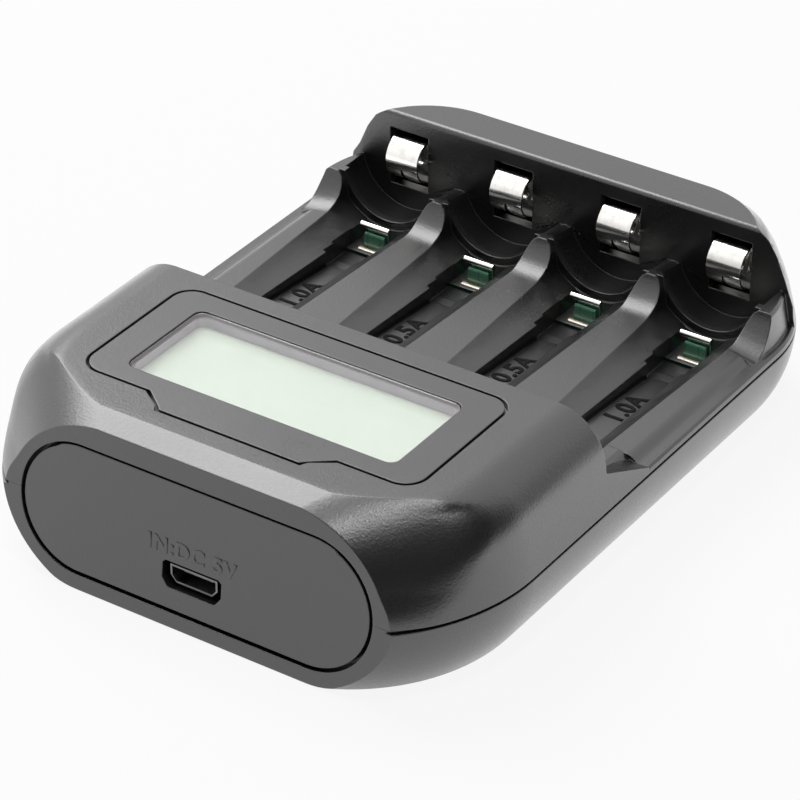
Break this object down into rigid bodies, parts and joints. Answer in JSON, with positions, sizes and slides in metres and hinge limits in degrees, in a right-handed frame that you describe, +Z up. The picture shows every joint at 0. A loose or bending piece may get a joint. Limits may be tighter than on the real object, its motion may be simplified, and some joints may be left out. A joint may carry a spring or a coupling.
{
  "type": "aa_battery_charger",
  "caption": "Desk charger for AA and AAA cells: clamshell body, raised display block with a small LCD, open troughs with spring contacts, USB inlet in the end face",
  "frame": {"origin": "centre of the footprint, on the underside", "axes": "+X across the bays to the right seen from the port end, +Y from the port end to the contact wall, +Z up"},
  "size_m": [0.0782, 0.1044, 0.0263],
  "materials": {
    "case_lower": "spark-eroded satin, dark grey",
    "case_upper": "spark-eroded satin, dark grey",
    "case_panel": "spark-eroded satin, dark grey",
    "case_cover": "satin, dark grey",
    "clear_lens": "clear moulded plastic",
    "pale_plastic": "pale lilac grey",
    "lcd": "reflective twisted-nematic glass, pale green",
    "white_plastic": "white light box",
    "tin": "tinned",
    "board_green": "solder resist over glass fibre",
    "chip_black": "moulded epoxy",
    "ferrite": "sintered ferrite",
    "capacitor_can": "sleeved can",
    "ribbon": "flat cable sheath",
    "nickel": "nickel-plated strip",
    "screw_steel": "blackened steel"
  },
  "bodies": {
    "case": {"lower_shell": "case_lower", "upper_shell": "case_upper", "end_panel": "case_panel", "display_cover": "case_cover", "display_lens": "clear_lens", "lcd_spacer": "pale_plastic", "lcd_glass": "lcd", "lcd_backlight": "white_plastic", "lcd_pins": "tin", "main_board": "board_green", "charge_controller": "chip_black", "power_inductor": "ferrite", "filter_capacitors": "capacitor_can", "charge_transistors": "chip_black", "contact_board": "board_green", "board_link": "ribbon", "usb_socket": "nickel", "usb_tongue": "chip_black", "aaa_contact_1": "nickel", "aaa_contact_2": "nickel", "aaa_contact_3": "nickel", "aaa_contact_4": "nickel", "negative_contact_1": "nickel", "negative_contact_2": "nickel", "negative_contact_3": "nickel", "negative_contact_4": "nickel", "case_screws": "screw_steel"},
    "strip_1": {"aa_contact_1": "nickel"},
    "strip_2": {"aa_contact_2": "nickel"},
    "strip_3": {"aa_contact_3": "nickel"},
    "strip_4": {"aa_contact_4": "nickel"}
  },
  "joints": [
    {"name": "strip_1_flex", "type": "hinge", "parent": "case", "child": "strip_1", "pos_m": [-0.027, 0.0418, 0.00877], "axis": [-1, 0, 0], "range_deg": [0, 6], "stiffness_Nm_per_rad": 0.3},
    {"name": "strip_2_flex", "type": "hinge", "parent": "case", "child": "strip_2", "pos_m": [-0.009, 0.0418, 0.00877], "axis": [-1, 0, 0], "range_deg": [0, 6], "stiffness_Nm_per_rad": 0.3},
    {"name": "strip_3_flex", "type": "hinge", "parent": "case", "child": "strip_3", "pos_m": [0.009, 0.0418, 0.00877], "axis": [-1, 0, 0], "range_deg": [0, 6], "stiffness_Nm_per_rad": 0.3},
    {"name": "strip_4_flex", "type": "hinge", "parent": "case", "child": "strip_4", "pos_m": [0.027, 0.0418, 0.00877], "axis": [-1, 0, 0], "range_deg": [0, 6], "stiffness_Nm_per_rad": 0.3}
  ]
}
